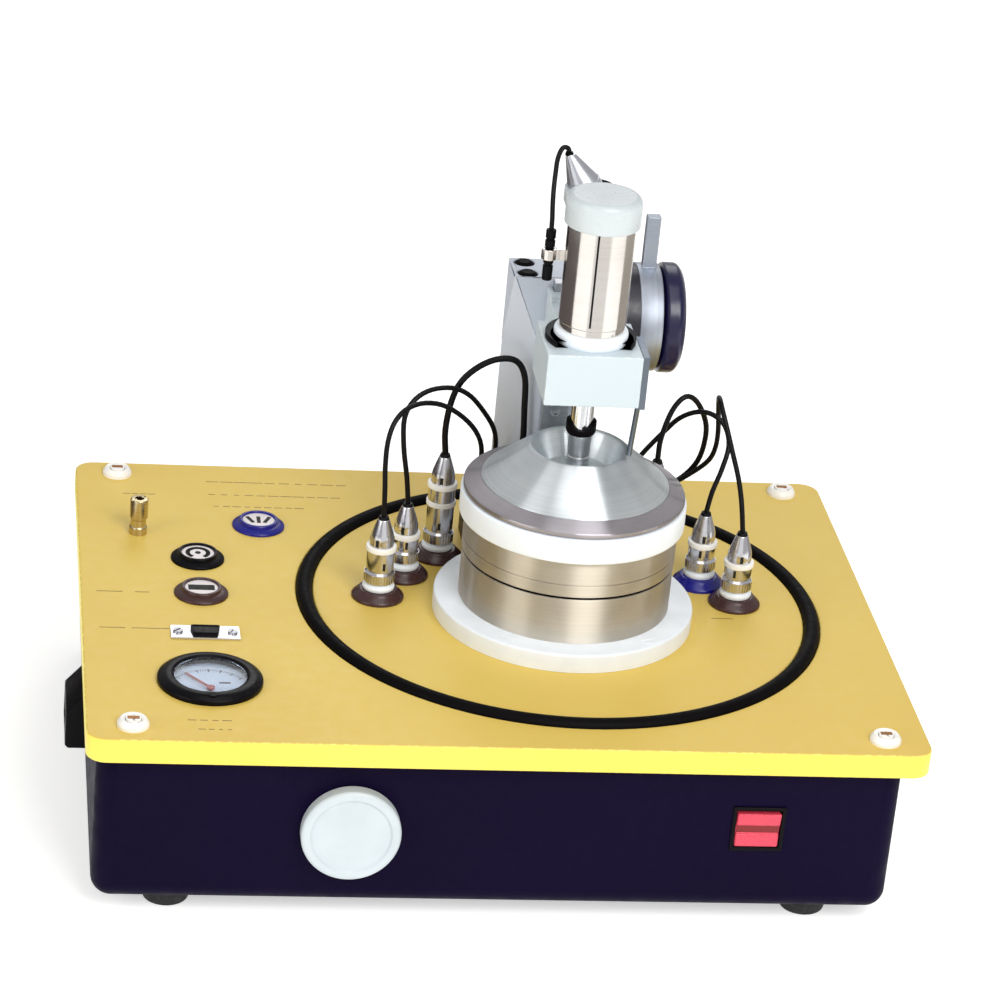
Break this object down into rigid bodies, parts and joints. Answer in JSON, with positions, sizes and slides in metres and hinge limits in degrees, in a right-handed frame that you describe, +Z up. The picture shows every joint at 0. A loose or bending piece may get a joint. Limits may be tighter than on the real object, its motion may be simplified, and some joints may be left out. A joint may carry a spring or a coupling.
{
  "type": "faceting machine",
  "caption": "Bench faceting machine: boxed deck with a belt-driven cup lap, and a motor quill and dop that a rack and pinion raises on a column.",
  "frame": {"origin": "on the floor, under the middle of the machine's box, leads left out", "axes": "+X to the right as the user faces the front panel, +Y to the back, +Z up; the lap axis is along Z"},
  "size_m": [0.377, 0.28, 0.3128],
  "materials": {
    "deck_paint": "satin yellow powder coat",
    "case_paint": "satin blue-black paint",
    "foot_rubber": "moulded",
    "bronze_screw": "bronzed",
    "ivory_plastic": "moulded",
    "screw_steel": "zinc plated",
    "seal_rubber": "moulded",
    "white_polymer": "turned",
    "housing_steel": "turned and polished",
    "bearing_steel": "ground",
    "column_paint": "satin grey enamel",
    "black_rubber": "moulded",
    "rail_steel": "ground",
    "drum_black": "moulded",
    "meter_black": "moulded",
    "lens_glass": "clear",
    "spigot_metal": "turned",
    "socket_plastic": "moulded",
    "jack_brown": "moulded",
    "plug_nickel": "nickel plated",
    "lead_black": "extruded",
    "black_plastic": "moulded",
    "board_green": "solder resist",
    "motor_steel": "plated",
    "belt_rubber": "moulded",
    "spindle_steel": "turned",
    "rim_dark": "dark anodised",
    "cup_aluminium": "turned satin",
    "head_paint": "satin enamel",
    "barrel_steel": "polished",
    "cap_white": "moulded",
    "gland_metal": "turned",
    "drip_steel": "drawn",
    "quill_chrome": "ground",
    "knob_black": "moulded",
    "lock_aluminium": "turned",
    "speed_white": "moulded",
    "rocker_red": "translucent, lit",
    "needle_red": "enamel"
  },
  "bodies": {
    "root": {"deck_plate": "deck_paint", "case_shell": "case_paint", "belt_hatch": "case_paint", "feet": "foot_rubber", "deck_screws": "bronze_screw", "deck_washers": "ivory_plastic", "machine_screws": "screw_steel", "deck_seal": "seal_rubber", "base_flange": "white_polymer", "lower_housing": "housing_steel", "housing_seal": "seal_rubber", "upper_housing": "housing_steel", "splash_ring": "white_polymer", "spindle_bearings": "bearing_steel", "column": "column_paint", "column_plugs": "black_rubber", "slide_rail": "rail_steel", "knob_drum": "drum_black", "meter_case": "meter_black", "meter_lens": "lens_glass", "coolant_spigot": "spigot_metal", "panel_sockets": "socket_plastic", "panel_jacks": "jack_brown", "lead_plugs": "plug_nickel", "lead_1": "lead_black", "lead_2": "lead_black", "lead_3": "lead_black", "lead_4": "lead_black", "lead_5": "lead_black", "lead_6": "lead_black", "terminal_strips": "black_plastic", "power_inlet": "black_plastic", "control_board": "board_green", "drive_motor": "motor_steel", "speed_pot": "motor_steel", "rocker_frame": "black_plastic", "drive_belt": "belt_rubber"},
    "lap": {"lap_spindle": "spindle_steel", "lap_rim": "rim_dark", "lap_cup": "cup_aluminium"},
    "motor_shaft": {"motor_pulley": "spindle_steel"},
    "head": {"head_block": "head_paint", "rack": "rail_steel", "motor_barrel": "barrel_steel", "barrel_collar": "white_polymer", "retaining_ring": "black_plastic", "barrel_cap": "cap_white", "cable_gland": "gland_metal", "pigtail": "lead_black", "pigtail_plug": "black_plastic", "drip_tube": "drip_steel"},
    "quill": {"quill": "quill_chrome", "dop_coupling": "black_rubber", "dop": "quill_chrome"},
    "focus": {"pinion_shaft": "rail_steel", "focus_knob": "knob_black"},
    "lock": {"lock_ring": "lock_aluminium"},
    "speed": {"speed_knob": "speed_white"},
    "rocker": {"power_rocker": "rocker_red"},
    "needle": {"meter_needle": "needle_red"}
  },
  "joints": [
    {"name": "lap_spin", "type": "hinge", "parent": "root", "child": "lap", "pos_m": [0.0395, -0.01, 0.0935], "axis": [0, 0, 1], "continuous": true},
    {"name": "motor_spin", "type": "hinge", "parent": "root", "child": "motor_shaft", "pos_m": [-0.0465, 0.06, 0.0685], "axis": [0, 0, 1], "continuous": true},
    {"name": "head_slide", "type": "slide", "parent": "root", "child": "head", "axis": [0, 0, 1], "range_m": [0, 0.03]},
    {"name": "focus_turn", "type": "hinge", "parent": "root", "child": "focus", "pos_m": [0.0835, 0.054, 0.2165], "axis": [1, 0, 0], "range_deg": [-216, 0]},
    {"name": "quill_spin", "type": "hinge", "parent": "head", "child": "quill", "pos_m": [0.0395, -0.01, 0.2035], "axis": [0, 0, 1], "continuous": true},
    {"name": "lock_turn", "type": "hinge", "parent": "root", "child": "lock", "pos_m": [0.0745, 0.054, 0.2165], "axis": [1, 0, 0], "range_deg": [-60, 40]},
    {"name": "speed_turn", "type": "hinge", "parent": "root", "child": "speed", "pos_m": [-0.0651, -0.1315, 0.0465], "axis": [0, 1, 0], "range_deg": [-135, 135]},
    {"name": "rocker_press", "type": "hinge", "parent": "root", "child": "rocker", "pos_m": [0.1155, -0.128, 0.0505], "axis": [1, 0, 0], "range_deg": [-12, 0]},
    {"name": "needle_swing", "type": "hinge", "parent": "root", "child": "needle", "pos_m": [-0.1265, -0.091, 0.09325], "axis": [0, 0, 1], "range_deg": [-80, 0]}
  ],
  "couplings": [
    {"joint": "motor_spin", "follows": "lap_spin", "ratio": 2.8},
    {"joint": "focus_turn", "follows": "head_slide", "rad_per_m": -125}
  ]
}
